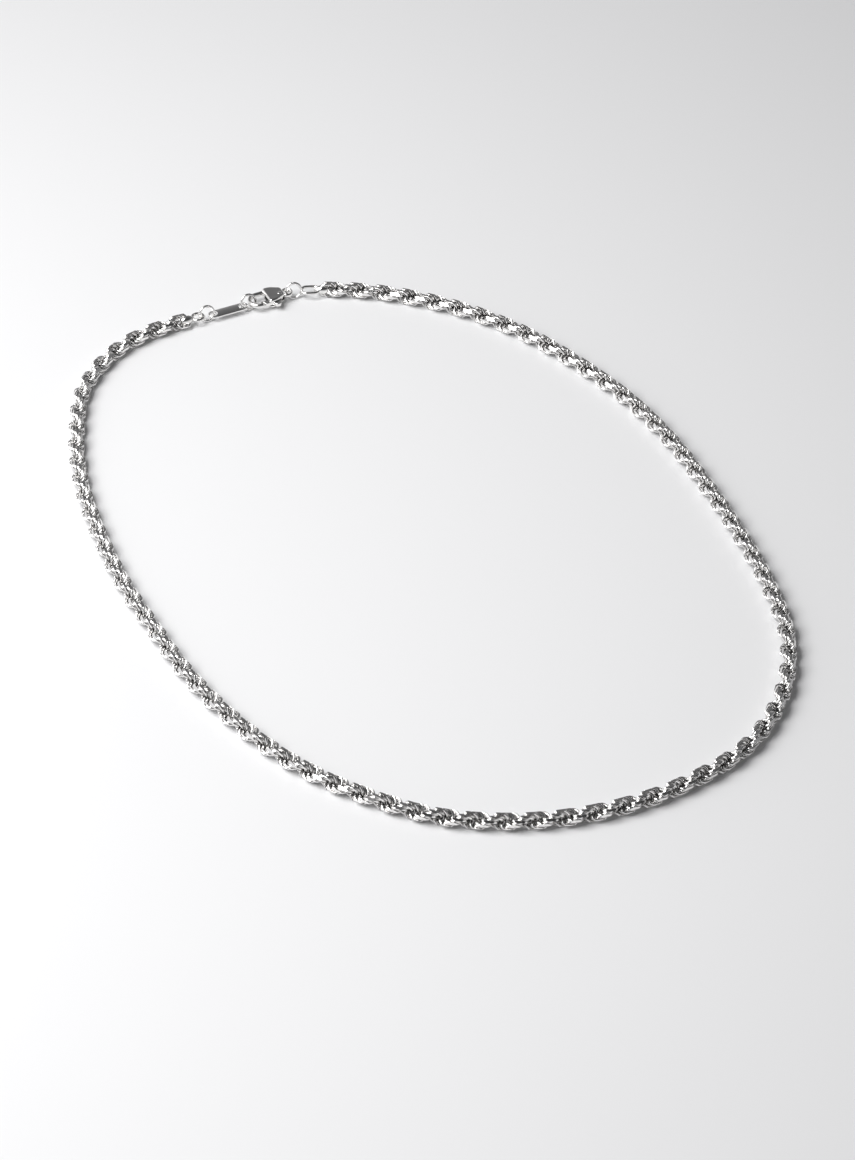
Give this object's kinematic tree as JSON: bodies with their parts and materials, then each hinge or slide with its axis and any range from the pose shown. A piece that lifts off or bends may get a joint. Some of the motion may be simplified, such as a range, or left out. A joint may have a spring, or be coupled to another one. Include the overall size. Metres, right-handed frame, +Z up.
{
  "type": "rope chain necklace",
  "caption": "Polished silver rope chain necklace lying open in a loop, closed by a lobster clasp with a sprung lever and a small plain tag on jump rings.",
  "frame": {"origin": "on the surface that the necklace lies on, under the middle of its outline", "axes": "+Z up out of that surface; +Y from the rope's front curve to the clasp; +X to the right as seen with the clasp at the back"},
  "size_m": [0.1535, 0.1745, 0.0038],
  "materials": {
    "rope": "polished silver wire with diamond-cut facets",
    "rings": "polished silver wire",
    "tag": "polished silver sheet, lightly scratched",
    "clasp": "cast silver, tumbled and polished"
  },
  "bodies": {
    "necklace": {"rope_chain": "rope", "end_link_left": "rings", "jump_ring_left": "rings", "tag": "tag", "jump_ring_tag": "rings", "clasp_body": "clasp", "clasp_rivet": "clasp", "jump_ring_right": "rings", "end_link_right": "rings"},
    "lever": {"clasp_lever": "clasp"}
  },
  "joints": [
    {"name": "lever_hinge", "type": "hinge", "parent": "necklace", "child": "lever", "pos_m": [-0.03227, 0.08289, 0.0016], "axis": [0, 0, -1], "range_deg": [0, 16], "stiffness_Nm_per_rad": 0.01, "springref_deg": -5.73}
  ]
}
